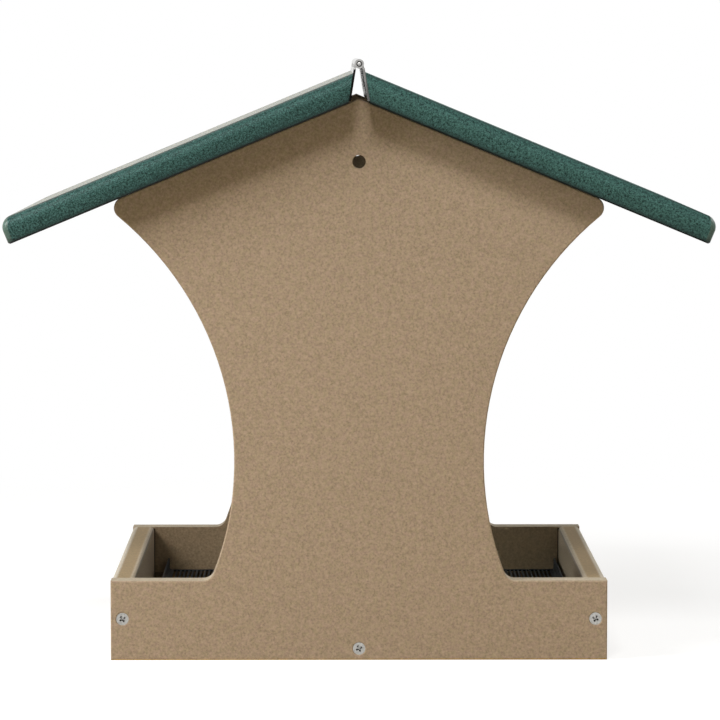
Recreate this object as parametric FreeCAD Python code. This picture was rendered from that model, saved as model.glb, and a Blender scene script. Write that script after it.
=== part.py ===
import FreeCAD, Part
import math
import os

# Hopper bird feeder, in millimetres. X runs across the gable ends, Y along the ridge from
# the front end to the rear end, Z up. The origin is on the ground under the middle.

# End panels
body_width = 336.0
body_length = 311.0
end_thickness = 15.9
rim_height = 54.0
apex_height = 379.2
roof_pitch = 22.5
waist_width = 168.4
waist_height = 135.5
side_radius = 214.0
shoulder_radius = 7.5
rim_fillet = 8.0
edge_break = 0.8
hanger_diameter = 9.0
hanger_drop = 42.2

# Tray boards and floor
tray_thickness = 15.9
tray_edge_round = 3.0
rail_width = 64.0
rail_height = 21.0
screen_width = 291.0
screen_offset = 4.0
screen_end_gap = 1.0
screen_sheet = 1.0
screen_flange = 9.5
screen_bend = 1.5

# Windows, standing in blind grooves of the end panels
window_thickness = 3.0
window_lean = 7.0
window_margin = 13.0
feed_gap = 12.0
window_top_gap = 2.0
groove_depth = 6.0
groove_clearance = 0.2
groove_end_clearance = 0.4

# Roof boards
roof_thickness = 17.5
roof_length = 355.6
roof_run = 233.5
roof_edge_round = 8.0
roof_corner_round = 4.0
roof_edge_break = 1.0

# Continuous hinge along the ridge
pin_diameter = 3.2
pin_clearance = 0.05
leaf_thickness = 1.5
leaf_width = 25.4
leaf_lean = 9.0
axis_rise = 4.3
knuckle_count = 7
knuckle_gap = 0.3
notch_clearance = 0.4
hinge_inset = 3.0

# Screws
board_screw_head = 8.6
board_screw_shank = 4.2
board_screw_length = 38.0
board_screw_sink = 0.4
hinge_screw_shank = 3.0
hinge_screw_length = 12.0
hinge_screw_count = 3
hinge_screw_margin = 38.0
hinge_screw_drop = 16.0
screw_clearance = 0.05
tray_screw_height = 28.0
rail_screw_height = 7.7
roof_screw_upper = 45.0
roof_screw_lower = 150.0

# Two places nearer than this count as one
same_place = 1e-4

# Worked out from the sizes above
pitch = math.radians(roof_pitch)
lean = math.radians(leaf_lean)
tilt = math.radians(window_lean)
half_width = body_width / 2
half_length = body_length / 2
inner_length = body_length - 2 * end_thickness
half_inner = inner_length / 2
half_roof = roof_length / 2
ridge_top = apex_height + roof_thickness / math.cos(pitch)
axis_height = ridge_top + axis_rise
bore_radius = pin_diameter / 2 + pin_clearance
barrel_radius = bore_radius + leaf_thickness
hinge_length = roof_length - 2 * hinge_inset
knuckle_pitch = hinge_length / knuckle_count
notch_drop = math.sqrt((barrel_radius + notch_clearance) ** 2 - bore_radius ** 2)
# A hinge screw's head is as deep as its leaf is thick.
hinge_screw_head = hinge_screw_shank + 2 * leaf_thickness
floor_top = rail_height + screen_sheet
window_foot = floor_top + feed_gap
window_foot_x = (waist_width / 2 - window_margin - window_thickness / 2
                 - (waist_height - window_foot) * math.tan(tilt))


def point(x, z, y=0.0):
    """A point given by its place across, its height and its place along the ridge."""
    return FreeCAD.Vector(x, y, z)


def block(x_low, x_high, y_low, y_high, z_low, z_high):
    """A plain block between two corners."""
    corner = FreeCAD.Vector(x_low, y_low, z_low)
    return Part.makeBox(x_high - x_low, y_high - y_low, z_high - z_low, corner)


def drawn(edges, y_low, y_high):
    """A closed outline in the X-Z plane, drawn out along Y between two places."""
    face = Part.Face(Part.Wire(Part.__sortEdges__(edges)))
    solid = face.extrude(FreeCAD.Vector(0, y_high - y_low, 0))
    solid.translate(FreeCAD.Vector(0, y_low, 0))
    return solid


def straight_outline(corners):
    """Straight edges through the corners and back to the first."""
    following = corners[1:] + corners[:1]
    return [Part.LineSegment(a, b).toShape() for a, b in zip(corners, following)]


def edges_along(solid, places):
    """The edges that run along Y at the given places in the X-Z plane."""
    found = []
    for edge in solid.Edges:
        first = edge.Vertexes[0].Point
        last = edge.Vertexes[-1].Point
        for place in places:
            near = max(abs(first.x - place.x), abs(first.z - place.z),
                       abs(last.x - place.x), abs(last.z - place.z))
            if near < same_place:
                found.append(edge)
    return found


def edges_in_plane(solid, place, normal):
    """The edges that lie in the plane through a place, square to the normal."""
    found = []
    for edge in solid.Edges:
        off = max(abs((spot - place).dot(normal)) for spot in edge.discretize(3))
        if off < same_place:
            found.append(edge)
    return found


def flat_screw(head, shank, length):
    """A flat-head screw with its face at the origin and its tip below."""
    neck = point(0, (shank - head) / 2)
    rim = Part.makeCircle(head / 2)
    root = Part.makeCircle(shank / 2, neck)
    # The ruled wall under the head needs half the facets of a cone.
    skin = [Part.Face(Part.Wire(rim)), Part.makeRuledSurface(rim, root), Part.Face(Part.Wire(root))]
    taper = Part.Solid(Part.Shell(skin))
    return taper.fuse(Part.makeCylinder(shank / 2, length + neck.z, neck, FreeCAD.Vector(0, 0, -1)))


def screw_hole(head, shank, length, sink=0.0):
    """The countersunk hole of a flat-head screw whose head sinks below the origin."""
    mouth = head / 2 + sink + screw_clearance
    bore = shank / 2 + screw_clearance
    tip = length + sink + screw_clearance
    wall = straight_outline([
        point(0, 0), point(mouth, 0), point(bore, bore - mouth), point(bore, -tip), point(0, -tip)])
    return Part.Face(Part.Wire(wall)).revolve(FreeCAD.Vector(0, 0, 0), FreeCAD.Vector(0, 0, 1), 360)


def placed(solid, place, outward):
    """A screw or hole set at a place, with its head facing outward."""
    turn = FreeCAD.Rotation(FreeCAD.Vector(0, 0, 1), outward)
    copy = solid.copy()
    copy.Placement = FreeCAD.Placement(place, turn)
    return copy


board_screw = flat_screw(board_screw_head, board_screw_shank, board_screw_length)
board_screw_hole = screw_hole(board_screw_head, board_screw_shank, board_screw_length, board_screw_sink)
hinge_screw = flat_screw(hinge_screw_head, hinge_screw_shank, hinge_screw_length)
hinge_screw_hole = screw_hole(hinge_screw_head, hinge_screw_shank, hinge_screw_length)


def tray_screw_seats(end):
    """Head places and outward direction of the tray screws; end is -1 front, 1 rear."""
    outward = FreeCAD.Vector(0, end, 0)
    x = half_width - tray_thickness / 2
    return [(point(side * x, tray_screw_height, end * half_length), outward) for side in (-1, 1)]


def rail_screw_seats(end):
    """Head place and outward direction of the floor rail's screw in one end panel."""
    outward = FreeCAD.Vector(0, end, 0)
    return [(point(0, rail_screw_height, end * half_length), outward)]


def roof_screw_seats(end):
    """Head places and outward direction of the fixed roof board's screws over one end panel."""
    outward = point(-math.sin(pitch), math.cos(pitch))
    y = end * (half_length - end_thickness / 2)
    seats = []
    for along in (roof_screw_upper, roof_screw_lower):
        foot = point(-along * math.cos(pitch), apex_height - along * math.sin(pitch), y)
        seats.append((foot + outward * roof_thickness, outward))
    return seats


def leaf_place(side, off, drop, y=0.0):
    """A place on a hinge leaf: off is the distance from the pin's middle plane, drop down the leaf."""
    x = off * math.cos(lean) + drop * math.sin(lean)
    z = axis_height + off * math.sin(lean) - drop * math.cos(lean)
    return point(side * x, z, y)


def hinge_screw_seats(side):
    """Head places and outward direction of one leaf's screws."""
    outward = leaf_place(side, 0, 0) - leaf_place(side, 1, 0)
    reach = hinge_length / 2 - hinge_screw_margin
    step = 2 * reach / (hinge_screw_count - 1)
    face = barrel_radius - leaf_thickness
    return [(leaf_place(side, face, hinge_screw_drop, -reach + step * i), outward)
            for i in range(hinge_screw_count)]


def bored(solid, hole, seats):
    """The solid with a screw hole at each seat."""
    return solid.cut([placed(hole, place, outward) for place, outward in seats])


def screw_group(screw, seats, sink=0.0):
    """Separate screws, one at each seat, with their heads sunk below the surface."""
    return Part.makeCompound([placed(screw, place - outward * sink, outward) for place, outward in seats])


def window_length():
    """Length up the slope from the foot to just under the roof."""
    edge_x = window_foot_x + window_thickness / 2 * math.cos(tilt)
    edge_z = window_foot - window_thickness / 2 * math.sin(tilt)
    room = apex_height - window_top_gap - edge_x * math.tan(pitch) - edge_z
    return room / (math.cos(tilt) + math.tan(pitch) * math.sin(tilt))


def window_sheet(side, thickness, length, half_span):
    """An upright sheet leaning outward from the window's foot on one side."""
    sheet = block(-thickness / 2, thickness / 2, -half_span, half_span, 0, length)
    sheet.rotate(FreeCAD.Vector(0, 0, 0), FreeCAD.Vector(0, 1, 0), side * window_lean)
    sheet.translate(point(side * window_foot_x, window_foot))
    return sheet


def end_panel(end):
    """One end: tray end, concave sides, roof slopes, hanging hole, window grooves and screw holes."""
    arc_x = waist_width / 2 + side_radius
    rim_x = arc_x - math.sqrt(side_radius ** 2 - (waist_height - rim_height) ** 2)
    # The shoulder is where the side's arc meets the roof slope.
    slope = math.tan(pitch)
    rise = apex_height - waist_height
    square = 1 + slope ** 2
    linear = arc_x + slope * rise
    constant = arc_x ** 2 + rise ** 2 - side_radius ** 2
    shoulder_x = (linear - math.sqrt(linear ** 2 - square * constant)) / square
    shoulder_z = apex_height - shoulder_x * slope

    edges = [Part.LineSegment(point(-half_width, 0), point(half_width, 0)).toShape()]
    rounds = []
    fillets = []
    for side in (-1, 1):
        base = point(side * half_width, 0)
        rim = point(side * half_width, rim_height)
        inner_rim = point(side * rim_x, rim_height)
        waist = point(side * waist_width / 2, waist_height)
        shoulder = point(side * shoulder_x, shoulder_z)
        edges.append(Part.LineSegment(base, rim).toShape())
        edges.append(Part.LineSegment(rim, inner_rim).toShape())
        edges.append(Part.Arc(inner_rim, waist, shoulder).toShape())
        edges.append(Part.LineSegment(shoulder, point(0, apex_height)).toShape())
        rounds.append(shoulder)
        fillets.append(inner_rim)

    outer_y = end * half_length
    inner_y = end * half_inner
    panel = drawn(edges, min(outer_y, inner_y), max(outer_y, inner_y))
    panel = panel.makeFillet(shoulder_radius, edges_along(panel, rounds))
    panel = panel.makeFillet(rim_fillet, edges_along(panel, fillets))
    outer_edges = edges_in_plane(panel, point(0, 0, outer_y), FreeCAD.Vector(0, 1, 0))
    panel = panel.makeChamfer(edge_break, outer_edges)

    hanger = Part.makeCylinder(hanger_diameter / 2, body_length,
                               point(0, apex_height - hanger_drop, -half_length), FreeCAD.Vector(0, 1, 0))
    run = window_length() + window_top_gap + roof_thickness
    grooves = [window_sheet(side, window_thickness + 2 * groove_clearance, run,
                            half_inner + groove_depth) for side in (-1, 1)]
    panel = panel.cut([hanger] + grooves)
    panel = bored(panel, board_screw_hole, tray_screw_seats(end) + rail_screw_seats(end))
    return bored(panel, board_screw_hole, roof_screw_seats(end))


def tray_board(side):
    """A long side of the tray between the end panels, with its upper edges rounded."""
    outer = side * half_width
    inner = side * (half_width - tray_thickness)
    board = block(min(outer, inner), max(outer, inner), -half_inner, half_inner, 0, rim_height)
    tops = [point(outer, rim_height), point(inner, rim_height)]
    board = board.makeFillet(tray_edge_round, edges_along(board, tops))
    seats = [seat for end in (-1, 1) for seat in tray_screw_seats(end)]
    return bored(board, board_screw_hole, seats)


def floor_rail():
    """The rail under the middle of the floor, screwed to both end panels."""
    rail = block(-rail_width / 2, rail_width / 2, -half_inner, half_inner, 0, rail_height)
    return bored(rail, board_screw_hole, rail_screw_seats(-1) + rail_screw_seats(1))


def floor_screen():
    """The loose sheet-metal floor on the rail, with its two sides turned up."""
    low = screen_offset - screen_width / 2
    high = screen_offset + screen_width / 2
    half_span = half_inner - screen_end_gap
    top = rail_height + screen_flange
    pan = block(low, high, -half_span, half_span, rail_height, top)
    hollow = block(low + screen_sheet, high - screen_sheet, -half_span, half_span, floor_top, top)
    pan = pan.cut(hollow)
    outside = [point(low, rail_height), point(high, rail_height)]
    inside = [point(low + screen_sheet, floor_top), point(high - screen_sheet, floor_top)]
    pan = pan.makeFillet(screen_bend + screen_sheet, edges_along(pan, outside))
    return pan.makeFillet(screen_bend, edges_along(pan, inside))


def window(side):
    """A clear side of the hopper, standing on the blind ends of its grooves."""
    half_span = half_inner + groove_depth - groove_end_clearance
    return window_sheet(side, window_thickness, window_length(), half_span)


def roof_board(side):
    """One half of the roof, bevelled at the ridge to carry its hinge leaf."""
    def ridge_corner(height):
        reach = barrel_radius + (axis_height - height) * math.sin(lean)
        x = reach / (math.cos(lean) - math.tan(pitch) * math.sin(lean))
        return point(side * x, height - x * math.tan(pitch))

    outward = point(side * math.sin(pitch), math.cos(pitch))
    downhill = point(side * math.cos(pitch), -math.sin(pitch))
    eave_low = point(side * roof_run, apex_height - roof_run * math.tan(pitch))
    eave_high = eave_low + outward * roof_thickness
    ridge_low = ridge_corner(apex_height)
    ridge_high = ridge_corner(ridge_top)
    board = drawn(straight_outline([ridge_low, eave_low, eave_high, ridge_high]), -half_roof, half_roof)

    def rim_edges(eave, ridge):
        """The edges of the upper or lower face but the one at the ridge."""
        return [edge for edge in edges_in_plane(board, eave, outward)
                if (edge.CenterOfMass - ridge).dot(downhill) > same_place]

    corners = [edge for edge in edges_in_plane(board, eave_low, downhill)
               if abs(edge.Length - roof_thickness) < same_place]
    board = board.makeFillet(roof_corner_round, corners)
    board = board.makeChamfer(roof_edge_break, rim_edges(eave_low, ridge_low))
    board = board.makeFillet(roof_edge_round, rim_edges(eave_high, ridge_high))
    return bored(board, hinge_screw_hole, hinge_screw_seats(side))


def fixed_roof_board():
    """The roof half that is screwed down on the end panels."""
    return bored(roof_board(-1), board_screw_hole, roof_screw_seats(-1) + roof_screw_seats(1))


def hinge_leaf(side, first):
    """A leaf with every second knuckle from the first, notched between for the other leaf's."""
    face = barrel_radius - leaf_thickness
    half_hinge = hinge_length / 2
    curl_drop = math.sqrt(barrel_radius ** 2 - face ** 2)
    root = leaf_place(side, barrel_radius, 0)
    foot_out = leaf_place(side, barrel_radius, notch_drop)
    foot_in = leaf_place(side, face, notch_drop)
    curl = leaf_place(side, face, curl_drop)
    crown = leaf_place(side, -barrel_radius, 0)
    end_out = leaf_place(side, barrel_radius, leaf_width)
    end_in = leaf_place(side, face, leaf_width)
    leaf = drawn(straight_outline([foot_in, foot_out, end_out, end_in]), -half_hinge, half_hinge)
    knuckles = []
    for index in range(first, knuckle_count, 2):
        low = -half_hinge + index * knuckle_pitch + knuckle_gap / 2
        outline = [Part.LineSegment(root, foot_out).toShape(),
                   Part.LineSegment(foot_out, foot_in).toShape(),
                   Part.LineSegment(foot_in, curl).toShape(),
                   Part.Arc(curl, crown, root).toShape()]
        knuckles.append(drawn(outline, low, low + knuckle_pitch - knuckle_gap))
    leaf = leaf.fuse(knuckles).removeSplitter()
    bore = Part.makeCylinder(bore_radius, roof_length, point(0, axis_height, -half_roof),
                             FreeCAD.Vector(0, 1, 0))
    leaf = leaf.cut(bore)
    return bored(leaf, hinge_screw_hole, hinge_screw_seats(side))


def hinge_pin():
    """The pin through all the knuckles."""
    return Part.makeCylinder(pin_diameter / 2, hinge_length, point(0, axis_height, -hinge_length / 2),
                             FreeCAD.Vector(0, 1, 0))


nodes = {
    "front_end_panel": end_panel(-1),
    "rear_end_panel": end_panel(1),
    "left_tray_board": tray_board(-1),
    "right_tray_board": tray_board(1),
    "floor_rail": floor_rail(),
    "floor_screen": floor_screen(),
    "left_window": window(-1),
    "right_window": window(1),
    "fixed_roof_board": fixed_roof_board(),
    "lid_roof_board": roof_board(1),
    "fixed_hinge_leaf": hinge_leaf(-1, 0),
    "lid_hinge_leaf": hinge_leaf(1, 1),
    "hinge_pin": hinge_pin(),
    "fixed_leaf_screws": screw_group(hinge_screw, hinge_screw_seats(-1)),
    "lid_leaf_screws": screw_group(hinge_screw, hinge_screw_seats(1)),
    "front_tray_screws": screw_group(board_screw, tray_screw_seats(-1), board_screw_sink),
    "rear_tray_screws": screw_group(board_screw, tray_screw_seats(1), board_screw_sink),
    "rail_screws": screw_group(board_screw, rail_screw_seats(-1) + rail_screw_seats(1), board_screw_sink),
    "front_roof_screws": screw_group(board_screw, roof_screw_seats(-1), board_screw_sink),
    "rear_roof_screws": screw_group(board_screw, roof_screw_seats(1), board_screw_sink),
}

os.makedirs("parts", exist_ok=True)
for name, solid in nodes.items():
    solid.exportStep(f"parts/{name}.step")
    print(name, len(solid.Solids), round(solid.Volume / 1000, 2), "cm3", solid.isValid())
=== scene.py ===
import math

import bmesh
import bpy
from bpy.props import FloatProperty, FloatVectorProperty, IntProperty, PointerProperty
from mathutils import Matrix, Vector


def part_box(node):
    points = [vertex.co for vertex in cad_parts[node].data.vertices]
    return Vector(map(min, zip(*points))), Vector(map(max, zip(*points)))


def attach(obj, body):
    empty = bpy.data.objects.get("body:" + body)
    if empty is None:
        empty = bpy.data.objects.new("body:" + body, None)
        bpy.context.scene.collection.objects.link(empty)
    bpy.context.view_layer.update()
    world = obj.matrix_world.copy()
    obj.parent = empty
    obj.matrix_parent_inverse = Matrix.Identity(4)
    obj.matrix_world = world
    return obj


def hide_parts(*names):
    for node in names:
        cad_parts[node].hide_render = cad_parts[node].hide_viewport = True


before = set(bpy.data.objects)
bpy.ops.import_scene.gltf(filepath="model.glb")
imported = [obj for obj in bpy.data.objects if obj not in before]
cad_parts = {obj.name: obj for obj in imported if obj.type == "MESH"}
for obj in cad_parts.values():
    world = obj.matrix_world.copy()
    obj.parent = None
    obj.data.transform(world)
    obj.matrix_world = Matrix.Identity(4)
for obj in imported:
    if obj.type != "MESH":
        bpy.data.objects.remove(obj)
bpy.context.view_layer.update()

bl_info = {
    "name": "Hopper Bird Feeder",
    "version": (1, 0, 0),
    "blender": (4, 5, 0),
    "location": "View3D > Sidebar > Feeder",
    "description": "Finishes the boards, hinge, windows, floor screen and screws of a hopper bird feeder",
    "category": "Object",
}

# Vertices nearer than this are one corner of a node's mesh.
MERGE = 1e-6
# A vertex this near a screw's highest point lies on its head.
HEAD_DEPTH = 1e-4
# Radius of the rounding along a tray board's upper edges.
TRAY_ROUND = 0.003
# Name of the attribute that is one down in a screw's recess.
SUNK = "sunk"
# Angle between two faces above which their edge stays sharp.
CREASE = math.radians(35)
# Width of the lip round a screw's head, as a share of its radius.
HEAD_LIP = 0.07
# Size of a recess's floor, as a share of its opening.
RECESS_TAPER = 0.55
# Turn of the first recess, from one to the next, and for each metre along X, in radians.
FIRST_TURN = 0.45
NEXT_TURN = 2.4
TURN_BY_PLACE = 9
# Drawn streaks a metre along X, Y and Z, their depth in metres and how bright the dull ones are.
SCREW_STREAK = (900, 900, 900)
HINGE_STREAK = (700, 12, 700)
STREAK_DEPTH = 0.00003
DULL_STEEL = 0.72
# Half the width of the floor, in metres, and the camera's film width in millimetres.
FLOOR_REACH = 15.0
FILM_WIDTH = 36.0
# Each lamp's turn from the front and rise, in degrees, and its distance and size, in metres.
LAMPS = {
    "key": (-8, 50, 4.0, 1.05),
    "side": (-70, 37, 1.3, 0.5),
    "low": (-70, 18, 1.6, 0.5),
    "right": (60, 35, 1.6, 0.8),
    "back": (120, 38, 2.6, 1.6),
}


def colour(name, description, value):
    """A colour property with its default."""
    return FloatVectorProperty(name=name, description=description, default=value, size=4,
                               subtype="COLOR", min=0.0, max=1.0)


def length(name, description, value):
    """A length property, in metres."""
    return FloatProperty(name=name, description=description, default=value, min=0.0,
                         subtype="DISTANCE", unit="LENGTH", precision=5)


def angle(name, description, degrees):
    """An angle property, written here in degrees."""
    return FloatProperty(name=name, description=description, default=math.radians(degrees),
                         subtype="ANGLE", unit="ROTATION")


def share(name, description, value, most=1.0):
    """A plain number from nothing upward."""
    return FloatProperty(name=name, description=description, default=value, min=0.0, max=most)


class FeederBoards(bpy.types.PropertyGroup):
    """Taupe board of the end panels, tray and floor rail."""
    olive: colour("Olive fleck", "Greener of the two grains in the board", (0.331, 0.261, 0.174, 1))
    rose: colour("Rose fleck", "Pinker of the two grains in the board", (0.360, 0.266, 0.199, 1))
    # Partly the sawn edges' own colour and partly a painted reflection: lighter to stand in for the
    # bright surroundings that the cut faces reflect.
    milled_and_reflection: colour("Milled edge", "Colour of the end panels' sawn edges", (0.39, 0.33, 0.245, 1))
    planed: colour("Planed edge", "Colour of the tray boards' long edges", (0.28, 0.205, 0.115, 1))
    # Painted shade: the end panels' inner faces between the tray boards take this darker colour, where
    # little light reaches.
    inner: colour("Inner face", "Colour of the end panels' inner faces", (0.26, 0.187, 0.114, 1))
    # Partly the board's warm core showing on the bevel and partly painted warm bounce light, brightened
    # so that the down-facing bevel shows.
    eased_and_bounce: colour("Eased corner", "Colour of the small bevel under an end panel", (0.60, 0.36, 0.05, 1))
    # Painted highlight: the strips along a tray board's rounded upper edges are paler, standing in for
    # those roundings catching the light.
    strip_highlight: colour("Worn strip", "Colour of a tray board's worn upper edges", (0.47, 0.42, 0.34, 1))
    outer_strip: length("Outer strip", "Twice the width of the outer worn edge", 0.00714)
    inner_strip: length("Inner strip", "Twice the width of the inner worn edge", 0.0068)
    inner_highlight: share("Inner wear", "How worn the inner edge is beside the outer one", 0.5)
    foot_height: length("Foot height", "How far up a board its small lower bevel can lie", 0.0034)
    # Painted shade: a near-black colour laid in the joint between tray boards and end panels, on the tray
    # boards' inner lips and under the floor.
    seam: colour("Seam", "Colour of the joint between tray and end panels", (0.035, 0.028, 0.018, 1))
    joint_shade_width: length("Seam width", "Width of the dark line along that joint", 0.0012)
    lip_shade: share("Lip shade", "How dark the inner rounding of a tray board gets", 0.55)
    hidden_shade: share("Hidden shade", "How dark the end panels are under the floor", 0.45)
    mottle: share("Mottle", "How much lighter and darker the flecks are", 0.26)
    grain: length("Grain", "Size of the flecks", 0.0031)
    relief: length("Relief", "Depth of the embossed skin", 0.00008)
    roughness: share("Roughness", "Roughness of the skin", 0.6)
    gloss: share("Gloss", "Specular level of the skin", 0.04)


class FeederRoof(bpy.types.PropertyGroup):
    """Green roof boards."""
    deep: colour("Deep green", "Darkest of the roof board's grains", (0.002, 0.012, 0.010, 1))
    mid: colour("Middle green", "Main colour of the fixed roof board", (0.016, 0.052, 0.045, 1))
    # Painted light: the lid board's green is lighter than the fixed board's, making up for the lamps
    # lighting its front edge less.
    lid_mid_lit: colour("Lid green", "Main colour of the lid board", (0.040, 0.106, 0.093, 1))
    pale: colour("Pale green", "Lightest specks in the roof board", (0.122, 0.292, 0.268, 1))
    # Painted shade: this near-black green goes on the down-facing bevels, the foot of the front edges and
    # the line beside the rounding.
    under: colour("Lower edge", "Colour of the small bevel under the edges", (0.006, 0.010, 0.009, 1))
    # Painted highlight: the eave ends' roundings are paler and greyer, standing in for the side light
    # that they catch.
    paler: colour("Eave", "Colour that the eave ends wear towards", (0.13, 0.18, 0.15, 1))
    grain: length("Grain", "Size of the specks", 0.0016)
    relief: length("Relief", "Depth of the embossed skin", 0.00012)
    roughness: share("Roughness", "Roughness of the sawn edges", 0.5)
    top_roughness: share("Top roughness", "Roughness of the fixed board's flat faces", 0.17)
    lid_roughness: share("Lid roughness", "Roughness of the lid board's flat faces", 0.85)
    eave_roughness: share("Eave roughness", "Roughness of the worn eave ends", 0.2)
    gloss: share("Gloss", "Specular level of the board", 0.15)
    dust: share("Dust", "Weight of the fixed board's dust, seen at a flat angle", 0.24)
    dust_roughness: share("Dust roughness", "Roughness of the dust", 0.3)
    dust_tint: colour("Dust tint", "Colour of the dust", (1.0, 0.78, 0.42, 1))
    eave_highlight: share("Eave wear", "How worn the eave ends are", 0.5)
    # These set where the painted shade lies and how dark it is.
    foot_height: length("Foot height", "How far up an edge its foot is darkest", 0.0055)
    foot_shade: share("Foot shade", "How dark the foot of an edge is", 0.95)
    lower_height: length("Lower height", "How far up an edge it is darker", 0.01155)
    lower_shade: share("Lower shade", "How dark that lower part is", 0.45)
    brink_shade: share("Brink shade", "How dark the line beside an edge is", 0.6)
    pitch: angle("Pitch", "Slope of the roof boards", 22.5)


class FeederHardware(bpy.types.PropertyGroup):
    """Hinge and screws."""
    hinge: colour("Hinge steel", "Colour of the rolled hinge", (0.60, 0.59, 0.57, 1))
    # Painted shade: the cut ends take a near-black colour on the fixed leaf and pin and a lighter one on
    # the lid leaf.
    end_shade: colour("Sheared end", "Colour of the fixed leaf's cut ends", (0.012, 0.010, 0.009, 1))
    lid_end_shade: colour("Lid sheared end", "Colour of the lid leaf's cut ends", (0.15, 0.147, 0.14, 1))
    screw: colour("Screw steel", "Colour of the screws", (0.46, 0.45, 0.42, 1))
    # Painted shade: the sides of a screw's cross recess take this dark colour.
    recess: colour("Recess", "Colour down in a screw's recess", (0.08, 0.07, 0.06, 1))
    hinge_roughness: share("Hinge roughness", "Roughness of the rolled steel", 0.22)
    sheared_roughness: share("Sheared roughness", "Roughness of the leaves' cut ends", 0.65)
    screw_roughness: share("Screw roughness", "Roughness of the plated screws", 0.38)
    leaf_lean: angle("Leaf lean", "Angle of each hinge leaf from upright", 9.0)
    board_head: length("Board screw head", "Radius of a board screw's head", 0.0043)
    board_shank: length("Board screw shank", "Radius of a board screw's shank", 0.0021)
    board_length: length("Board screw length", "Length of a board screw", 0.038)
    leaf_head: length("Leaf screw head", "Radius of a hinge screw's head", 0.0030)
    leaf_shank: length("Leaf screw shank", "Radius of a hinge screw's shank", 0.0015)
    leaf_length: length("Leaf screw length", "Length of a hinge screw", 0.012)
    recess_reach: share("Recess reach", "Half the cross recess, as a share of the head's radius", 0.52)
    recess_width: share("Recess width", "Width of a recess arm, as a share of the head's radius", 0.30)
    recess_depth: share("Recess depth", "Depth of the recess, as a share of the head's radius", 0.5)
    sides: IntProperty(name="Sides", description="Facets round a screw", default=32, min=12)


class FeederScreen(bpy.types.PropertyGroup):
    """Slotted metal floor."""
    black: colour("Black", "Colour of the floor screen", (0.010, 0.0095, 0.009, 1))
    paler: colour("Worn black", "Colour where the coating has thinned", (0.030, 0.029, 0.027, 1))
    grain: length("Grain", "Size of the thin spots", 0.0009)
    relief: length("Relief", "Depth of the coating's grain", 0.00006)
    gloss: share("Gloss", "Specular level of the coating", 0.35)
    sheet: length("Sheet", "Thickness of the metal", 0.001)
    bend: length("Bend", "Outer radius of the turned-up sides", 0.0025)
    slot_width: length("Slot width", "Width of one slot", 0.0018)
    bar_width: length("Bar width", "Metal between two slots", 0.00125)
    slot_length: length("Slot length", "Length of one slot", 0.087)
    web: length("Web", "Metal between two rows of slots", 0.003)
    border: length("Border", "Least plain metal along the edges", 0.0012)


class FeederWindows(bpy.types.PropertyGroup):
    """Clear hopper windows."""
    tint: colour("Tint", "Colour that the sheet lets through", (0.94, 0.97, 0.965, 1))
    passed: share("Passed", "Share of the lamps' light that goes through", 0.9)
    ior: share("Index", "Index of refraction of the sheet", 1.49, 3.0)
    grain: length("Grain", "Size of the faint unevenness", 0.004)
    frost: share("Frost", "How much rougher the sawn edges are", 0.4)
    edge: length("Edge", "Rounding of the sheet's edges", 0.0004)
    lean: angle("Lean", "Angle of each window from upright", 7.0)


class FeederStage(bpy.types.PropertyGroup):
    """Camera, floor and light."""
    camera_place: FloatVectorProperty(name="Camera", description="Place of the camera", size=3,
                                      default=(-0.018, -2.7215, 0.4104), subtype="TRANSLATION")
    camera_dip: angle("Dip", "How far the camera looks down", 4.6045)
    camera_turn: angle("Turn", "How far the camera looks to the right", 0.4156)
    lens: FloatProperty(name="Lens", description="Focal length on a 36 mm film", default=191.32,
                        subtype="DISTANCE_CAMERA")
    aim: FloatVectorProperty(name="Aim", description="Point that the lamps face", size=3,
                             default=(0.0, -0.155, 0.22), subtype="TRANSLATION")
    key_power: share("Key", "Power of the main lamp in watts", 75.5, 1000)
    side_power: share("Side", "Power of the side lamp in watts", 14.0, 1000)
    low_power: share("Low", "Power of the low side lamp in watts", 5.0, 1000)
    right_power: share("Right", "Power of the weak lamp on the right in watts", 1.0, 1000)
    back_power: share("Back", "Power of the lamp behind in watts", 26.0, 1000)
    ambient: share("Ambient", "Strength of the light from all round", 0.2)
    fill: colour("Fill", "Tint of the light from all round", (1.0, 0.88, 0.64, 1))
    floor_bounce: colour("Floor bounce", "Light that the floor throws back", (0.58, 0.525, 0.41, 1))
    floor_white: share("Floor white", "How much of the floor shows as plain white by the object", 0.72)
    floor_shade: share("Floor shade", "How much of the floor takes the shadow by the object", 0.34)
    shade_start: length("Shade start", "Distance from the middle where the shadow starts to fade", 0.3)
    shade_end: length("Shade end", "Distance from the middle where the floor is plain white", 1.0)
    covered: length("Covered", "Distance each way from the middle that lies under the object", 0.148)


class FeederSettings(bpy.types.PropertyGroup):
    """All of the feeder's settings."""
    boards: PointerProperty(type=FeederBoards)
    roof: PointerProperty(type=FeederRoof)
    hardware: PointerProperty(type=FeederHardware)
    screen: PointerProperty(type=FeederScreen)
    windows: PointerProperty(type=FeederWindows)
    stage: PointerProperty(type=FeederStage)


# Shader helpers

def add(tree, kind, inputs=None, **options):
    """A node with its options set and its inputs filled by values or by other nodes' sockets."""
    made = tree.nodes.new(kind)
    for name, value in options.items():
        setattr(made, name, value)
    for name, value in (inputs or {}).items():
        if isinstance(value, bpy.types.NodeSocket):
            tree.links.new(value, made.inputs[name])
        else:
            made.inputs[name].default_value = value
    return made


def calculate(tree, operation, first, second, clamp=False):
    """The result of one sum on two values."""
    return add(tree, "ShaderNodeMath", {0: first, 1: second}, operation=operation,
               use_clamp=clamp).outputs[0]


def product(tree, first, *others):
    """Values multiplied together."""
    for other in others:
        first = calculate(tree, "MULTIPLY", first, other)
    return first


def largest(tree, first, *others):
    """The largest of some values."""
    for other in others:
        first = calculate(tree, "MAXIMUM", first, other)
    return first


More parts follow.
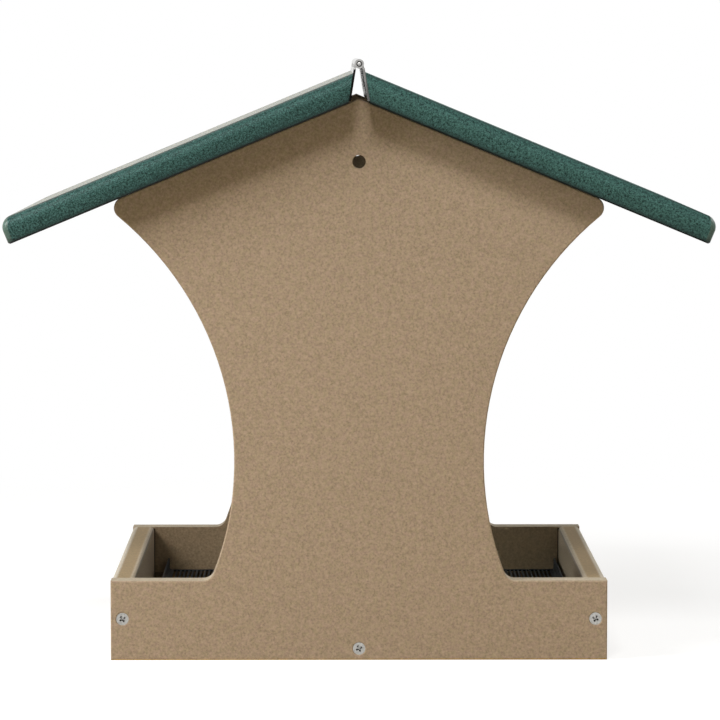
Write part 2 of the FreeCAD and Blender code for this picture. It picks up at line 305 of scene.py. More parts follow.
def distance_to(tree, value, place):
    """How far a value is from a place, on either side."""
    return calculate(tree, "ABSOLUTE", calculate(tree, "SUBTRACT", value, place), 0.0)


def on_vectors(tree, operation, *vectors):
    """One sum on vectors: a number for a dot product or a length, and otherwise a vector."""
    made = add(tree, "ShaderNodeVectorMath", dict(enumerate(vectors)), operation=operation)
    return made.outputs["Value" if operation in ("DOT_PRODUCT", "LENGTH") else "Vector"]


def coordinate(tree, kind="Object"):
    """A point's place on its object, or with Normal the way that its surface faces."""
    return add(tree, "ShaderNodeTexCoord").outputs[kind]


def parts_of(tree, vector):
    """The X, Y and Z of a vector."""
    return add(tree, "ShaderNodeSeparateXYZ", {0: vector}).outputs


def noise(tree, place, scale, detail, roughness=0.5):
    """Plain noise at a place."""
    return add(tree, "ShaderNodeTexNoise", {"Vector": place, "Scale": scale, "Detail": detail,
                                            "Roughness": roughness}).outputs["Fac"]


def spread(tree, value, low, high, to_low=0.0, to_high=1.0):
    """A value stretched from one range to another and held inside it."""
    return add(tree, "ShaderNodeMapRange", {"Value": value, "From Min": low, "From Max": high,
                                            "To Min": to_low, "To Max": to_high}).outputs["Result"]


def between(tree, factor, first, second):
    """Two values mixed by a factor."""
    return add(tree, "ShaderNodeMix", {"Factor": factor, "A": first, "B": second}).outputs[0]


def blend(tree, factor, first, second):
    """Two colours mixed by a factor."""
    made = add(tree, "ShaderNodeMix", {"Factor": factor}, data_type="RGBA")
    for socket, value in ((made.inputs[6], first), (made.inputs[7], second)):
        if isinstance(value, bpy.types.NodeSocket):
            tree.links.new(value, socket)
        else:
            socket.default_value = value
    return made.outputs[2]


def start_group(name, inputs, outputs):
    """An empty shader group with its sockets, and its input and output nodes."""
    tree = bpy.data.node_groups.new(name, "ShaderNodeTree")
    for label, kind, value in inputs:
        socket = tree.interface.new_socket(label, in_out="INPUT", socket_type=kind)
        socket.default_value = value
    for label in outputs:
        tree.interface.new_socket(label, in_out="OUTPUT", socket_type="NodeSocketFloat")
    return tree, tree.nodes.new("NodeGroupInput"), tree.nodes.new("NodeGroupOutput")


def grain_group():
    """Flecks, specks, a slow drift and a height for pressed board, at a given grain size."""
    name = "Pressed Grain"
    if name in bpy.data.node_groups:
        return bpy.data.node_groups[name]
    tree, given, result = start_group(name, [("Grain Size", "NodeSocketFloat", 0.002)],
                                      ["Fleck", "Speck", "Drift", "Height"])
    count = calculate(tree, "DIVIDE", 1.0, given.outputs["Grain Size"])
    grid = add(tree, "ShaderNodeVectorMath", {0: coordinate(tree), "Scale": count},
               operation="SCALE").outputs[0]
    fleck = noise(tree, grid, 1.0, 2.0, 0.55)
    speck = noise(tree, grid, 2.1, 3.0, 0.65)
    drift = noise(tree, grid, 0.05, 3.0)
    height = calculate(tree, "ADD", product(tree, fleck, 0.6), product(tree, speck, 0.4))
    for label, value in (("Fleck", spread(tree, fleck, 0.34, 0.66)),
                         ("Speck", spread(tree, speck, 0.28, 0.72)),
                         ("Drift", spread(tree, drift, 0.35, 0.65)),
                         ("Height", height)):
        tree.links.new(value, result.inputs[label])
    return tree


def edge_group():
    """Masks by how a surface turns from a sheet's axis: cut edges, corners, their last bend, far side."""
    name = "Cut Edge"
    if name in bpy.data.node_groups:
        return bpy.data.node_groups[name]
    tree, given, result = start_group(name, [("Sheet Axis", "NodeSocketVector", (0, 1, 0))],
                                      ["Edge", "Corner", "Brink", "Below"])
    along = on_vectors(tree, "DOT_PRODUCT", coordinate(tree, "Normal"), given.outputs["Sheet Axis"])
    square = product(tree, along, along)
    # Four times the square and its rest peaks half way round a corner.
    rest = product(tree, calculate(tree, "SUBTRACT", 1.0, square), 4.0)
    brink = product(tree, spread(tree, square, 0.78, 0.88), spread(tree, square, 0.996, 0.98))
    for label, value in (("Edge", spread(tree, square, 0.48, 0.2)),
                         ("Corner", product(tree, square, rest)),
                         ("Brink", brink),
                         ("Below", spread(tree, along, -0.2, -0.4))):
        tree.links.new(value, result.inputs[label])
    return tree


def new_material(name):
    """A material with only its Principled shader and output, and that shader."""
    material = bpy.data.materials.new(name)
    material.use_nodes = True
    tree = material.node_tree
    tree.nodes.clear()
    shader = add(tree, "ShaderNodeBsdfPrincipled")
    add(tree, "ShaderNodeOutputMaterial", {"Surface": shader.outputs[0]})
    return material, tree, shader


def output_of(tree):
    """The output node of a material."""
    return next(node for node in tree.nodes if node.type == "OUTPUT_MATERIAL")


def use_group(tree, group, **inputs):
    """A group placed in a material, with its own input values."""
    made = tree.nodes.new("ShaderNodeGroup")
    made.node_tree = group
    for name, value in inputs.items():
        made.inputs[name.replace("_", " ")].default_value = value
    return made


def bump(tree, shader, height, depth):
    """A relief of a given depth on a shader."""
    made = add(tree, "ShaderNodeBump", {"Height": height, "Distance": depth, "Strength": 1.0})
    tree.links.new(made.outputs["Normal"], shader.inputs["Normal"])


def apart(tree):
    """How far a point lies from the middle along X, Y and Z."""
    return parts_of(tree, on_vectors(tree, "ABSOLUTE", coordinate(tree)))


def near(tree, value, place, width):
    """One where a value is within half a width of a place."""
    return spread(tree, distance_to(tree, value, place), width * 0.4, width * 0.6, 1.0, 0.0)


def inner_lip(tree, shade):
    """The lower turn of a tray board's inner rounding, with painted shade darkening it towards the face
    under it.
    """
    low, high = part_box("right_tray_board")
    x, y, z = apart(tree)
    up = parts_of(tree, coordinate(tree, "Normal"))["Z"]
    turned = product(tree, spread(tree, up, 0.0, 0.5, 0.0, shade), spread(tree, up, 0.72, 0.62))
    return product(tree, turned,
                   calculate(tree, "LESS_THAN", x, low.x + TRAY_ROUND),
                   calculate(tree, "GREATER_THAN", x, low.x - MERGE),
                   calculate(tree, "LESS_THAN", y, high.y + MERGE),
                   calculate(tree, "GREATER_THAN", z, high.z - TRAY_ROUND))


def tray_masks(tree, settings):
    """Masks of the end panels' inner faces, which take a painted shade, and of further painted shade: in
    the joints, on the inner lips and under the floor.
    """
    low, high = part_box("right_tray_board")
    width = settings.joint_shade_width
    x, y, z = apart(tree)
    joint = product(tree, near(tree, x, low.x, width), near(tree, y, high.y, width),
                    calculate(tree, "LESS_THAN", z, high.z - width))
    within = product(tree, calculate(tree, "LESS_THAN", x, low.x + MERGE),
                     calculate(tree, "LESS_THAN", y, high.y + MERGE))
    below = calculate(tree, "LESS_THAN", z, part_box("floor_screen")[0].z - width)
    hidden = product(tree, within, below, settings.hidden_shade)
    # Painted shade in the joints, under the floor and on the inner lips.
    dark = largest(tree, joint, hidden, inner_lip(tree, settings.lip_shade))
    return product(tree, within, near(tree, y, high.y, MERGE * 100)), dark


def lower_bevel(tree, settings, edge):
    """One on the small bevel along the foot of a board, where the colour that is partly painted bounce
    light goes.
    """
    down = use_group(tree, edge_group(), Sheet_Axis=(0, 0, 1)).outputs["Below"]
    foot = calculate(tree, "LESS_THAN", apart(tree)["Z"], settings.foot_height)
    return product(tree, spread(tree, edge.outputs["Corner"], 0.0, 0.15), down, foot)


def highlight_strips(tree, settings, edge):
    """One on the painted highlight strip along a tray board's outer upper edge, and less on the inner
    one.
    """
    up = use_group(tree, edge_group(), Sheet_Axis=(0, 0, -1)).outputs["Below"]
    low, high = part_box("right_tray_board")
    x = apart(tree)["X"]
    outer = near(tree, x, high.x, settings.outer_strip)
    inner = product(tree, near(tree, x, low.x, settings.inner_strip), settings.inner_highlight)
    return product(tree, largest(tree, outer, inner), up)


def taupe_board(name, settings, sheet_axis, cut, trim, trim_mask):
    """Taupe board with two-tone flecks, cut edges lightened in part as a painted reflection, a trim of
    another colour that is painted light in part or whole, and painted shade on the end panels' inner
    faces, in the joints and under the floor.
    """
    material, tree, shader = new_material(name)
    grain = use_group(tree, grain_group(), Grain_Size=settings.grain)
    speck = grain.outputs["Speck"]
    edge = use_group(tree, edge_group(), Sheet_Axis=sheet_axis)
    inner, dark = tray_masks(tree, settings)
    base = blend(tree, grain.outputs["Fleck"], settings.olive, settings.rose)
    # Painted shade on the end panels' inner faces.
    base = blend(tree, inner, base, settings.inner)
    # Cut edges, lightened in part as a painted reflection.
    base = blend(tree, edge.outputs["Edge"], base, cut)
    # Trim: a painted highlight on the tray boards' upper edges, and on the lower bevels the warm colour
    # that is partly painted bounce light.
    base = blend(tree, trim_mask(tree, settings, edge), base, trim)
    # Painted shade in the joints, under the floor and on the inner lips.
    base = blend(tree, dark, base, settings.seam)
    tone = spread(tree, speck, 0.0, 1.0, 1.0 - settings.mottle, 1.0 + settings.mottle)
    mottled = add(tree, "ShaderNodeHueSaturation", {"Color": base, "Value": tone})
    tree.links.new(mottled.outputs["Color"], shader.inputs["Base Color"])
    rough = spread(tree, speck, 0.0, 1.0, settings.roughness - 0.06, settings.roughness + 0.06)
    tree.links.new(rough, shader.inputs["Roughness"])
    shader.inputs["Specular IOR Level"].default_value = settings.gloss
    bump(tree, shader, grain.outputs["Height"], settings.relief)
    return material


def green_board(name, settings, sheet_axis, downhill, underside, main, top_roughness, dust):
    """Green roof board, speckled, with a painted highlight on the eave ends and painted shade on the
    lower bevels, at the foot of the edges and beside the rounding; underside is its place along the
    sheet's axis.
    """
    material, tree, shader = new_material(name)
    grain = use_group(tree, grain_group(), Grain_Size=settings.grain)
    masks = use_group(tree, edge_group(), Sheet_Axis=sheet_axis)
    edge = masks.outputs["Edge"]
    base = blend(tree, grain.outputs["Fleck"], settings.deep, main)
    pale = product(tree, spread(tree, grain.outputs["Speck"], 0.35, 0.95),
                   spread(tree, edge, 0.0, 1.0, 0.4, 0.55))
    base = blend(tree, pale, base, settings.pale)
    # The longer axis takes in the whole of the rounding.
    eave = use_group(tree, edge_group(), Sheet_Axis=downhill * -3).outputs["Below"]
    # Painted highlight on the eave ends' roundings.
    base = blend(tree, product(tree, eave, settings.eave_highlight), base, settings.paler)
    # Painted shade towards the foot of the front edges, on the down-facing bevels and beside the
    # rounding.
    height = on_vectors(tree, "DOT_PRODUCT", coordinate(tree), sheet_axis)
    foot = spread(tree, height, underside, underside + settings.foot_height, settings.foot_shade, 0.0)
    lower = spread(tree, height, underside, underside + settings.lower_height, settings.lower_shade, 0.0)
    shade = product(tree, largest(tree, foot, lower), edge)
    under = product(tree, masks.outputs["Corner"], masks.outputs["Below"])
    brink = product(tree, masks.outputs["Brink"], settings.brink_shade)
    base = blend(tree, largest(tree, under, brink, shade), base, settings.under)
    tree.links.new(base, shader.inputs["Base Color"])
    rough = calculate(tree, "ADD", spread(tree, edge, 0.0, 1.0, top_roughness, settings.roughness),
                      product(tree, grain.outputs["Fleck"], 0.1))
    rough = between(tree, eave, rough, settings.eave_roughness)
    tree.links.new(rough, shader.inputs["Roughness"])
    shader.inputs["Specular IOR Level"].default_value = settings.gloss
    shader.inputs["Sheen Weight"].default_value = dust
    shader.inputs["Sheen Roughness"].default_value = settings.dust_roughness
    shader.inputs["Sheen Tint"].default_value = settings.dust_tint
    relief = product(tree, grain.outputs["Height"], spread(tree, edge, 0.0, 1.0, 0.4, 1.0))
    bump(tree, shader, relief, settings.relief)
    return material


def steel(name, tone, roughness, streak):
    """Bare steel with drawn streaks; also its tree, its shader, and its colour and roughness."""
    material, tree, shader = new_material(name)
    drawn = add(tree, "ShaderNodeMapping", {"Vector": coordinate(tree), "Scale": streak}).outputs[0]
    lines = noise(tree, drawn, 1.0, 3.0)
    dull = tuple(part * DULL_STEEL for part in tone[:3]) + (1.0,)
    base = blend(tree, spread(tree, lines, 0.35, 0.65), dull, tone)
    rough = spread(tree, lines, 0.3, 0.7, roughness - 0.08, roughness + 0.1)
    tree.links.new(rough, shader.inputs["Roughness"])
    shader.inputs["Metallic"].default_value = 1.0
    bump(tree, shader, lines, STREAK_DEPTH)
    return material, tree, shader, base, rough


def screw_steel(name, settings):
    """Plated screw steel, with a painted shade on the sides of the recess."""
    material, tree, shader, base = steel(name, settings.screw, settings.screw_roughness, SCREW_STREAK)[:4]
    depth = add(tree, "ShaderNodeAttribute", attribute_name=SUNK).outputs["Fac"]
    # Painted shade on the sides of the recess.
    recess_shade_mask = product(tree, spread(tree, depth, 0.0, 0.3), spread(tree, depth, 0.98, 0.8))
    tree.links.new(blend(tree, recess_shade_mask, base, settings.recess), shader.inputs["Base Color"])
    return material


def hinge_steel(name, settings, end_shade):
    """Rolled hinge steel whose cut ends take a painted shade of their own round the pin and below the
    barrel.
    """
    material, tree, shader, base, rough = steel(name, settings.hinge, settings.hinge_roughness,
                                                HINGE_STREAK)
    low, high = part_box("hinge_pin")
    bore = (high.z - low.z) / 2
    side = use_group(tree, edge_group(), Sheet_Axis=(0, 1, 0)).outputs["Edge"]
    place = coordinate(tree)
    from_pin = on_vectors(tree, "SUBTRACT", place, (low + high) / 2)
    radius = on_vectors(tree, "LENGTH", on_vectors(tree, "MULTIPLY", from_pin, (1, 0, 1)))
    round_bore = spread(tree, distance_to(tree, radius, bore), bore * 0.15, bore * 0.3)
    barrel = spread(tree, parts_of(tree, place)["Z"], low.z - 0.0025, low.z - 0.001, 0.0, 0.8)
    # Painted shade on the cut ends, kept off the barrel and away from the bore.
    clean = largest(tree, side, product(tree, barrel, round_bore))
    tree.links.new(blend(tree, clean, end_shade, base), shader.inputs["Base Color"])
    rough = between(tree, clean, settings.sheared_roughness, rough)
    tree.links.new(rough, shader.inputs["Roughness"])
    return material


def coated_metal(settings):
    """Matt black coated sheet, thinner and greyer in places."""
    material, tree, shader = new_material("black_screen_coating")
    grain = use_group(tree, grain_group(), Grain_Size=settings.grain)
    thin = product(tree, grain.outputs["Fleck"], grain.outputs["Drift"])
    tree.links.new(blend(tree, thin, settings.black, settings.paler), shader.inputs["Base Color"])
    rough = spread(tree, grain.outputs["Speck"], 0.0, 1.0, 0.75, 0.95)
    tree.links.new(rough, shader.inputs["Roughness"])
    shader.inputs["Specular IOR Level"].default_value = settings.gloss
    bump(tree, shader, grain.outputs["Height"], settings.relief)
    return material


def clear_sheet(name, settings, sheet_axis):
    """Clear sheet with frosted sawn edges, which lets most of the lamps' light straight through."""
    material, tree, shader = new_material(name)
    edge = use_group(tree, edge_group(), Sheet_Axis=sheet_axis).outputs["Edge"]
    grain = use_group(tree, grain_group(), Grain_Size=settings.grain)
    smooth = spread(tree, grain.outputs["Drift"], 0.0, 1.0, 0.01, 0.04)
    frosted = calculate(tree, "ADD", smooth, product(tree, edge, settings.frost))
    tree.links.new(frosted, shader.inputs["Roughness"])
    shader.inputs["Base Color"].default_value = settings.tint
    shader.inputs["IOR"].default_value = settings.ior
    shader.inputs["Transmission Weight"].default_value = 1.0
    lamp = add(tree, "ShaderNodeLightPath").outputs["Is Shadow Ray"]
    open_way = add(tree, "ShaderNodeBsdfTransparent", {"Color": settings.tint})
    both = add(tree, "ShaderNodeMixShader", {0: product(tree, lamp, settings.passed),
                                             1: shader.outputs[0], 2: open_way.outputs[0]})
    tree.links.new(both.outputs[0], output_of(tree).inputs["Surface"])
    return material


# Mesh helpers

def merged_copy(node):
    """A bmesh copy of a node with its corners joined."""
    bm = bmesh.new()
    bm.from_mesh(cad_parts[node].data)
    bmesh.ops.remove_doubles(bm, verts=bm.verts, dist=MERGE)
    return bm


def make_piece(bm, name, material, body, slot, *nodes):
    """A finished piece that rides on a body and stands for the named nodes."""
    mesh = bpy.data.meshes.new(name)
    bm.to_mesh(mesh)
    bm.free()
    mesh.materials.append(material)
    mesh.shade_smooth()
    mesh.set_sharp_from_angle(angle=CREASE)
    piece = bpy.data.objects.new(name, mesh)
    bpy.context.collection.objects.link(piece)
    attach(piece, body)
    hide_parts(*nodes)
    return piece


def finish_node(node, material):
    """A node that keeps its own shape and gets a better material."""
    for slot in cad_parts[node].material_slots:
        slot.material = material


def boundary_of(faces):
    """The edges round a set of faces."""
    chosen = set(faces)
    edges = {edge for face in chosen for edge in face.edges}
    return [edge for edge in edges if len(chosen.intersection(edge.link_faces)) == 1]


def screw_seats(node, facings):
    """The middle of each screw head in a node and the way it faces, out of the ways given."""
    bm = merged_copy(node)
    waiting = set(bm.verts)
    seats = []
    while waiting:
        island = [waiting.pop()]
        for vert in island:
            joined = {edge.other_vert(vert) for edge in vert.link_edges} & waiting
            waiting -= joined
            island.extend(joined)
        outward = max(facings, key=lambda facing: sum(vert.co.dot(facing) for vert in island))
        top = max(vert.co.dot(outward) for vert in island)
        head = [vert.co for vert in island if top - vert.co.dot(outward) < HEAD_DEPTH]
        low = Vector(min(co[i] for co in head) for i in range(3))
        high = Vector(max(co[i] for co in head) for i in range(3))
        seats.append(((low + high) / 2, outward))
    bm.free()
    return sorted(seats, key=lambda seat: tuple(seat[0]))


def add_screw(bm, settings, head, shank, reach, place):
    """One flat-head screw with a tapered cross recess, its face up at the origin, then put in place."""
    lip = head * HEAD_LIP
    arm = head * settings.recess_width / 2
    end = head * settings.recess_reach
    lines = (-end, -arm, arm, end)
    grid = bmesh.ops.create_grid(bm, x_segments=3, y_segments=3, size=1.0)["verts"]
    made = set(grid)
    for vert in grid:
        vert.co.x = lines[round((vert.co.x + 1) * 1.5)]
        vert.co.y = lines[round((vert.co.y + 1) * 1.5)]
    faces = {face for vert in grid for face in vert.link_faces}
    corners = [face for face in faces
               if min(abs(face.calc_center_median().x), abs(face.calc_center_median().y)) > arm]
    cross = [face for face in faces if face not in corners]
    bmesh.ops.delete(bm, geom=corners, context="FACES")
    made = {vert for vert in made if vert.is_valid}
    rim = boundary_of(cross)
    sunk = bmesh.ops.extrude_face_region(bm, geom=cross)["geom"]
    bmesh.ops.delete(bm, geom=cross, context="FACES_ONLY")
    floor = [part for part in sunk if isinstance(part, bmesh.types.BMVert)]
    depth = bm.verts.layers.float[SUNK]
    for vert in floor:
        vert[depth] = 1.0
    bmesh.ops.scale(bm, vec=(RECESS_TAPER, RECESS_TAPER, 1), verts=floor)
    bmesh.ops.translate(bm, vec=(0, 0, -head * settings.recess_depth), verts=floor)
    made.update(floor)

    ring = bmesh.ops.create_circle(bm, segments=settings.sides, radius=head - lip)["verts"]
    made.update(ring)
    loop = list({edge for vert in ring for edge in vert.link_edges})
    bmesh.ops.triangle_fill(bm, edges=rim + loop, use_beauty=True)
    radius = head - lip
    for wide, deep in ((head - lip * 0.3, lip * 0.3), (head, lip), (shank, lip + head - shank),
                       (shank, reach - shank), (shank * 0.1, reach)):
        grown = bmesh.ops.extrude_edge_only(bm, edges=loop)["geom"]
        verts = [part for part in grown if isinstance(part, bmesh.types.BMVert)]
        loop = [part for part in grown if isinstance(part, bmesh.types.BMEdge)]
        bmesh.ops.scale(bm, vec=(wide / radius, wide / radius, 1), verts=verts)
        for vert in verts:
            vert.co.z = -deep
        radius = wide
        made.update(verts)
    bmesh.ops.contextual_create(bm, geom=loop)
    bmesh.ops.transform(bm, matrix=place, verts=list(made))


def screw_piece(name, settings, material, body, node, facings, size):
    """All the screws of one node, each with its recess turned a little differently."""
    head, shank, reach = size
    bm = bmesh.new()
    bm.verts.layers.float.new(SUNK)
    for index, (seat, outward) in enumerate(screw_seats(node, facings)):
        upright = outward.to_track_quat("Z", "Y").to_matrix().to_4x4()
        turn = Matrix.Rotation(FIRST_TURN + NEXT_TURN * index + seat.x * TURN_BY_PLACE, 4, "Z")
        add_screw(bm, settings, head, shank, reach, Matrix.Translation(seat) @ upright @ turn)
    bmesh.ops.recalc_face_normals(bm, faces=bm.faces)
    return make_piece(bm, name, material, body, "screw_steel", node)


def roof_axis(pitch, side):
    """The direction square to a roof board: side is -1 on the left and 1 on the right."""
    return Vector((side * math.sin(pitch), 0, math.cos(pitch)))


def leaf_axis(lean, side):
    """The direction that the open face of a hinge leaf looks in."""
    return Vector((-side * math.cos(lean), 0, -math.sin(lean)))


# Operators

class FEEDER_OT_boards(bpy.types.Operator):
    """Give the end panels, tray boards and floor rail their taupe finish"""
    bl_idname = "feeder.boards"
    bl_label = "Finish Boards"

    def execute(self, context):
        settings = context.scene.feeder.boards
        for kind, axis, cut, trim, trim_mask, nodes in (
                ("end_panel", (0, 1, 0), settings.milled_and_reflection, settings.eased_and_bounce, lower_bevel,
                 ("front_end_panel", "rear_end_panel")),
                ("tray_board", (1, 0, 0), settings.planed, settings.strip_highlight, highlight_strips,
                 ("left_tray_board", "right_tray_board")),
                ("floor_rail", (0, 0, 1), settings.milled_and_reflection, settings.eased_and_bounce, lower_bevel, ("floor_rail",))):
            material = taupe_board(f"taupe_{kind}", settings, axis, cut, trim, trim_mask)
            for node in nodes:
                finish_node(node, material)
        return {"FINISHED"}


class FEEDER_OT_roof(bpy.types.Operator):
    """Give the two roof boards their green finish"""
    bl_idname = "feeder.roof"
    bl_label = "Finish Roof"

    def execute(self, context):
        settings = context.scene.feeder.roof
        # The lid board takes the lighter green as painted light.
        for node, side, *finish in (
                ("fixed_roof_board", -1, settings.mid, settings.top_roughness, settings.dust),
                ("lid_roof_board", 1, settings.lid_mid_lit, settings.lid_roughness, 0.0)):
            axis = roof_axis(settings.pitch, side)
            underside = min(vert.co.dot(axis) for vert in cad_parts[node].data.vertices)
            downhill = Vector((side * axis.z, 0, -side * axis.x))
            material = green_board(f"green_{node}", settings, axis, downhill, underside, *finish)
            finish_node(node, material)
        return {"FINISHED"}


class FEEDER_OT_hinge(bpy.types.Operator):
    """Give the hinge leaves and pin their rolled steel"""
    bl_idname = "feeder.hinge"
    bl_label = "Finish Hinge"

    def execute(self, context):
        settings = context.scene.feeder.hardware
        # Painted shade on the cut ends: near-black for the fixed leaf and pin, lighter for the lid leaf.
        for node, body, end_shade in (("fixed_hinge_leaf", "feeder", settings.end_shade),
                                    ("lid_hinge_leaf", "lid", settings.lid_end_shade),
                                    ("hinge_pin", "feeder", settings.end_shade)):
            material = hinge_steel(f"rolled_{node}", settings, end_shade)
            make_piece(merged_copy(node), f"{node}_rolled", material, body, "hinge_steel", node)
        return {"FINISHED"}


class FEEDER_OT_windows(bpy.types.Operator):
    """Build the two clear windows with softened edges"""
    bl_idname = "feeder.windows"
    bl_label = "Build Windows"

    def execute(self, context):
        settings = context.scene.feeder.windows
        for node, side in (("left_window", -1), ("right_window", 1)):
            bm = merged_copy(node)
            bmesh.ops.dissolve_limit(bm, angle_limit=math.radians(1), verts=bm.verts, edges=bm.edges)
            bmesh.ops.bevel(bm, geom=bm.edges, offset=settings.edge, segments=2, profile=0.5,
                            affect="EDGES", material=-1)
            axis = (math.cos(settings.lean), 0, -side * math.sin(settings.lean))
            material = clear_sheet(f"clear_{node}", settings, axis)
            make_piece(bm, f"{node}_sheet", material, "feeder", "clear_window", node)
        return {"FINISHED"}


class FEEDER_OT_screen(bpy.types.Operator):
    """Build the slotted floor screen with its turned-up sides"""
    bl_idname = "feeder.screen"
    bl_label = "Build Floor Screen"

    def execute(self, context):
        settings = context.scene.feeder.screen
        low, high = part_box("floor_screen")
        bend = settings.bend
        flat_low = Vector((low.x + bend, low.y, low.z))
        flat_high = Vector((high.x - bend, high.y, low.z))
        gaps = ((settings.slot_width, settings.bar_width), (settings.slot_length, settings.web))
        places = []
        for axis, (slot, bar) in enumerate(gaps):
            room = flat_high[axis] - flat_low[axis]
            count = int((room - 2 * settings.border + bar) / (slot + bar))
            border = (room - count * slot - (count - 1) * bar) / 2
            lines = [0.0]
            for index in range(count):
                lines.append(border + index * (slot + bar))
                lines.append(lines[-1] + slot)
            lines.append(room)
            places.append([flat_low[axis] + line for line in lines])

        bm = bmesh.new()
        cells = [len(lines) - 1 for lines in places]
        verts = bmesh.ops.create_grid(bm, x_segments=cells[0], y_segments=cells[1], size=1.0)["verts"]
        slots = []
        for face in bm.faces:
            middle = face.calc_center_median()
            column = int((middle.x + 1) / 2 * cells[0])
            row = int((middle.y + 1) / 2 * cells[1])
            if column % 2 and row % 2:
                slots.append(face)
        for vert in verts:
            column = round((vert.co.x + 1) / 2 * cells[0])
            row = round((vert.co.y + 1) / 2 * cells[1])
            vert.co = (places[0][column], places[1][row], low.z)
        bmesh.ops.delete(bm, geom=slots, context="FACES")
        for side, x in ((-1, flat_low.x), (1, flat_high.x)):
            edges = [edge for edge in bm.edges if all(abs(v.co.x - x) < MERGE for v in edge.verts)]
            turned = bmesh.ops.spin(bm, geom=edges, cent=(x, 0, low.z + bend), axis=(0, -side, 0),
                                    angle=math.radians(90), steps=6, use_merge=False)["geom_last"]
            edges = [part for part in turned if isinstance(part, bmesh.types.BMEdge)]
            grown = bmesh.ops.extrude_edge_only(bm, edges=edges)["geom"]
            verts = [part for part in grown if isinstance(part, bmesh.types.BMVert)]
            bmesh.ops.translate(bm, vec=(0, 0, high.z - low.z - bend), verts=verts)
        bmesh.ops.remove_doubles(bm, verts=bm.verts, dist=MERGE)
        bmesh.ops.recalc_face_normals(bm, faces=bm.faces)
        if sum(face.normal.z for face in bm.faces) < 0:
            bmesh.ops.reverse_faces(bm, faces=bm.faces)
        bmesh.ops.solidify(bm, geom=bm.faces, thickness=-settings.sheet)
        make_piece(bm, "floor_screen_slotted", coated_metal(settings), "feeder", "black_screen",
                   "floor_screen")
        return {"FINISHED"}


class FEEDER_OT_board_screws(bpy.types.Operator):
    """Build the flat-head screws of the tray, the floor rail and the fixed roof board"""
    bl_idname = "feeder.board_screws"
    bl_label = "Build Board Screws"

    def execute(self, context):
        settings = context.scene.feeder.hardware
        size = (settings.board_head, settings.board_shank, settings.board_length)
        material = screw_steel("plated_board_screw", settings)
        front = Vector((0, -1, 0))
        rear = Vector((0, 1, 0))
        up = roof_axis(context.scene.feeder.roof.pitch, -1)
        for node, facings in (("front_tray_screws", [front]), ("rear_tray_screws", [rear]),
                              ("rail_screws", [front, rear]), ("front_roof_screws", [up]),
                              ("rear_roof_screws", [up])):
            screw_piece(f"{node}_driven", settings, material, "feeder", node, facings, size)
        return {"FINISHED"}


class FEEDER_OT_leaf_screws(bpy.types.Operator):
    """Build the small screws of the hinge leaves"""
    bl_idname = "feeder.leaf_screws"
    bl_label = "Build Leaf Screws"

    def execute(self, context):
        settings = context.scene.feeder.hardware
        size = (settings.leaf_head, settings.leaf_shank, settings.leaf_length)
        material = screw_steel("plated_leaf_screw", settings)
        for node, body, side in (("fixed_leaf_screws", "feeder", -1), ("lid_leaf_screws", "lid", 1)):
            screw_piece(f"{node}_driven", settings, material, body, node,
                        [leaf_axis(settings.leaf_lean, side)], size)
        return {"FINISHED"}


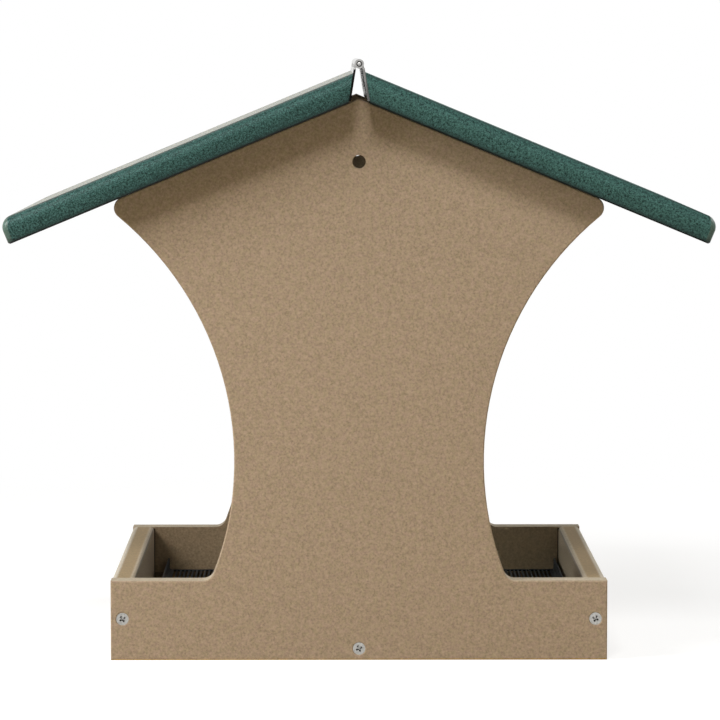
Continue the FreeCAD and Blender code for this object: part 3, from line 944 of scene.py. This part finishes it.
class FEEDER_OT_stage(bpy.types.Operator):
    """Set up the pale floor, the white surroundings, the lamps and the camera"""
    bl_idname = "feeder.stage"
    bl_label = "Set Up Stage"

    def execute(self, context):
        settings = context.scene.feeder.stage
        scene = context.scene
        scene.view_settings.view_transform = "Standard"
        self.light_surroundings(scene, settings)
        self.lay_floor(settings)
        for name, (turn, rise, distance, size) in LAMPS.items():
            power = getattr(settings, f"{name}_power")
            place = (math.radians(turn), math.radians(rise), distance)
            self.hang_lamp(settings, f"{name}_lamp", power, size, *place)
        camera = bpy.data.objects.new("camera", bpy.data.cameras.new("camera"))
        camera.data.lens = settings.lens
        camera.data.sensor_width = FILM_WIDTH
        camera.location = settings.camera_place
        camera.rotation_euler = (math.radians(90) - settings.camera_dip, 0, -settings.camera_turn)
        bpy.context.collection.objects.link(camera)
        scene.camera = camera
        return {"FINISHED"}

    @staticmethod
    def seen_directly(tree):
        """One where a ray comes from the camera, a reflection or glass, and nought elsewhere."""
        path = add(tree, "ShaderNodeLightPath")
        seen = calculate(tree, "ADD", path.outputs["Is Camera Ray"], path.outputs["Is Glossy Ray"],
                         clamp=True)
        return calculate(tree, "ADD", seen, path.outputs["Is Transmission Ray"], clamp=True)

    def light_surroundings(self, scene, settings):
        """White surroundings, at a lower strength where they light the object."""
        world = bpy.data.worlds.new("white_surroundings")
        world.use_nodes = True
        tree = world.node_tree
        tree.nodes.clear()
        light = add(tree, "ShaderNodeBackground", {"Color": settings.fill, "Strength": settings.ambient})
        white = add(tree, "ShaderNodeBackground", {"Color": (1, 1, 1, 1), "Strength": 1.0})
        both = add(tree, "ShaderNodeMixShader", {0: self.seen_directly(tree), 1: light.outputs[0],
                                                 2: white.outputs[0]})
        add(tree, "ShaderNodeOutputWorld", {"Surface": both.outputs[0]})
        scene.world = world

    def lay_floor(self, settings):
        """A pale floor that shows white and keeps a soft shadow."""
        bm = bmesh.new()
        bmesh.ops.create_grid(bm, x_segments=1, y_segments=1, size=FLOOR_REACH)
        mesh = bpy.data.meshes.new("floor")
        bm.to_mesh(mesh)
        bm.free()
        floor = bpy.data.objects.new("floor", mesh)
        bpy.context.collection.objects.link(floor)
        material = bpy.data.materials.new("pale_floor")
        material.use_nodes = True
        tree = material.node_tree
        tree.nodes.clear()
        plain = add(tree, "ShaderNodeBsdfDiffuse", {"Color": settings.floor_bounce})
        from_middle = apart(tree)
        beside = largest(tree, from_middle["X"], from_middle["Y"])
        lit = calculate(tree, "GREATER_THAN", beside, settings.covered)
        distance = on_vectors(tree, "LENGTH", coordinate(tree))
        fades = (settings.shade_start, settings.shade_end)
        shade = spread(tree, distance, *fades, settings.floor_shade, 0.0)
        shaded = add(tree, "ShaderNodeBsdfDiffuse", {"Color": shade})
        light = product(tree, lit, spread(tree, distance, *fades, settings.floor_white, 1.0))
        white = add(tree, "ShaderNodeEmission", {"Color": (1, 1, 1, 1), "Strength": light})
        shown = add(tree, "ShaderNodeAddShader", {0: shaded.outputs[0], 1: white.outputs[0]})
        both = add(tree, "ShaderNodeMixShader", {0: self.seen_directly(tree), 1: plain.outputs[0],
                                                 2: shown.outputs[0]})
        add(tree, "ShaderNodeOutputMaterial", {"Surface": both.outputs[0]})
        mesh.materials.append(material)

    def hang_lamp(self, settings, name, power, size, turn, rise, distance):
        """A square soft lamp at a turn from the front and a rise, facing the aim point."""
        lamp = bpy.data.lights.new(name, "AREA")
        lamp.energy = power
        lamp.size = size
        level = math.cos(rise)
        away = Vector((math.sin(turn) * level, -math.cos(turn) * level, math.sin(rise)))
        holder = bpy.data.objects.new(name, lamp)
        holder.location = Vector(settings.aim) + away * distance
        holder.rotation_euler = away.to_track_quat("Z", "Y").to_euler()
        bpy.context.collection.objects.link(holder)


STEPS = (FEEDER_OT_boards, FEEDER_OT_roof, FEEDER_OT_hinge, FEEDER_OT_windows, FEEDER_OT_screen,
         FEEDER_OT_board_screws, FEEDER_OT_leaf_screws, FEEDER_OT_stage)


class FEEDER_PT_sidebar(bpy.types.Panel):
    """The feeder's pieces, in the order they are made"""
    bl_idname = "FEEDER_PT_sidebar"
    bl_label = "Bird Feeder"
    bl_space_type = "VIEW_3D"
    bl_region_type = "UI"
    bl_category = "Feeder"

    def draw(self, context):
        for step in STEPS:
            self.layout.operator(step.bl_idname, text=step.bl_label)
        settings = context.scene.feeder
        for part in settings.bl_rna.properties.keys():
            if part in ("rna_type", "name"):
                continue
            box = self.layout.box()
            box.label(text=part.title())
            group = getattr(settings, part)
            for name in group.bl_rna.properties.keys():
                if name not in ("rna_type", "name"):
                    box.prop(group, name)


CLASSES = (FeederBoards, FeederRoof, FeederHardware, FeederScreen, FeederWindows, FeederStage,
           FeederSettings) + STEPS + (FEEDER_PT_sidebar,)


def register():
    for item in CLASSES:
        bpy.utils.register_class(item)
    bpy.types.Scene.feeder = PointerProperty(type=FeederSettings)


def unregister():
    del bpy.types.Scene.feeder
    for item in reversed(CLASSES):
        bpy.utils.unregister_class(item)


def main():
    """Registers the add-on and runs every step that finishes and builds the feeder and its stage."""
    register()
    bpy.ops.feeder.boards()
    bpy.ops.feeder.roof()
    bpy.ops.feeder.hinge()
    bpy.ops.feeder.windows()
    bpy.ops.feeder.screen()
    bpy.ops.feeder.board_screws()
    bpy.ops.feeder.leaf_screws()
    bpy.ops.feeder.stage()
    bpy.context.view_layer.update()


if __name__ == "__main__":
    main()
